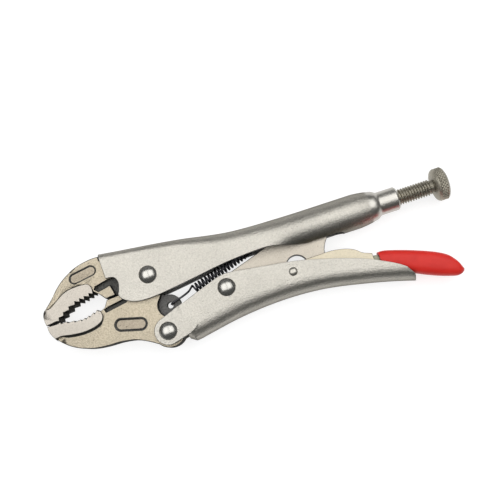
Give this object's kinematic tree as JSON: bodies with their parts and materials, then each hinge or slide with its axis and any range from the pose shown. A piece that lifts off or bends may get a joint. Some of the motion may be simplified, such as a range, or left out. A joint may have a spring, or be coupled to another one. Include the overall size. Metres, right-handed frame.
{
  "type": "locking pliers",
  "caption": "Curved-jaw locking pliers: over-centre toggle, wire cutter, adjusting screw with knurled knob, release lever with a dipped vinyl grip.",
  "frame": {"origin": "middle of the bounding box at the plane the tool lies on (the crowns of its lower rivet heads)", "axes": "+X along the adjusting screw from the jaws to the knob, +Y from the moving handle towards the fixed handle, +Z across the tool's thickness, up when it lies on its side"},
  "size_m": [0.2464, 0.0761, 0.0212],
  "materials": {
    "plated_sheet": "satin nickel plate on pressed steel sheet",
    "forged_steel": "satin nickel plate on forged steel",
    "rivet_steel": "polished dark steel",
    "screw_steel": "dark oiled steel",
    "spring_wire": "black oiled spring wire",
    "red_vinyl": "dipped vinyl"
  },
  "bodies": {
    "fixed_handle": {"upper_handle": "plated_sheet", "upper_jaw": "forged_steel", "main_rivet": "rivet_steel", "jaw_spring": "spring_wire"},
    "moving_jaw": {"lower_jaw": "forged_steel"},
    "moving_handle": {"lower_handle": "plated_sheet", "handle_rivet": "rivet_steel", "link_rivet": "rivet_steel", "lever_rivet": "plated_sheet", "link_spacers": "rivet_steel"},
    "toggle": {"toggle_link": "plated_sheet"},
    "lever": {"release_lever": "plated_sheet", "lever_grip": "red_vinyl"},
    "screw": {"adjusting_screw": "screw_steel"},
    "knob": {"adjusting_knob": "screw_steel"}
  },
  "joints": [
    {"name": "jaw_pivot", "type": "hinge", "parent": "fixed_handle", "child": "moving_jaw", "pos_m": [-0.0584, 0.01725, 0.0106], "axis": [0, 0, 1], "range_deg": [0, 26], "deforming": ["jaw_spring"]},
    {"name": "handle_pivot", "type": "hinge", "parent": "moving_jaw", "child": "moving_handle", "pos_m": [-0.0566, -0.01725, 0.0106], "axis": [0, 0, 1], "range_deg": [-70, 0]},
    {"name": "link_pivot", "type": "hinge", "parent": "moving_handle", "child": "toggle", "pos_m": [-0.0175, -0.00385, 0.0106], "axis": [0, 0, 1], "range_deg": [0, 67]},
    {"name": "lever_pivot", "type": "hinge", "parent": "moving_handle", "child": "lever", "pos_m": [0.0214, -0.00725, 0.0106], "axis": [0, 0, 1], "range_deg": [0, 6]},
    {"name": "screw_travel", "type": "slide", "parent": "fixed_handle", "child": "screw", "axis": [1, 0, 0], "range_m": [0, 0.0127]},
    {"name": "knob_turn", "type": "hinge", "parent": "screw", "child": "knob", "pos_m": [0.115, 0.01565, 0.0106], "axis": [1, 0, 0], "range_deg": [0, 2880]}
  ],
  "couplings": [
    {"joint": "handle_pivot", "follows": "jaw_pivot", "ratio": -2.6773},
    {"joint": "link_pivot", "follows": "jaw_pivot", "ratio": 2.5679},
    {"joint": "knob_turn", "follows": "screw_travel", "rad_per_m": 3957.9}
  ]
}
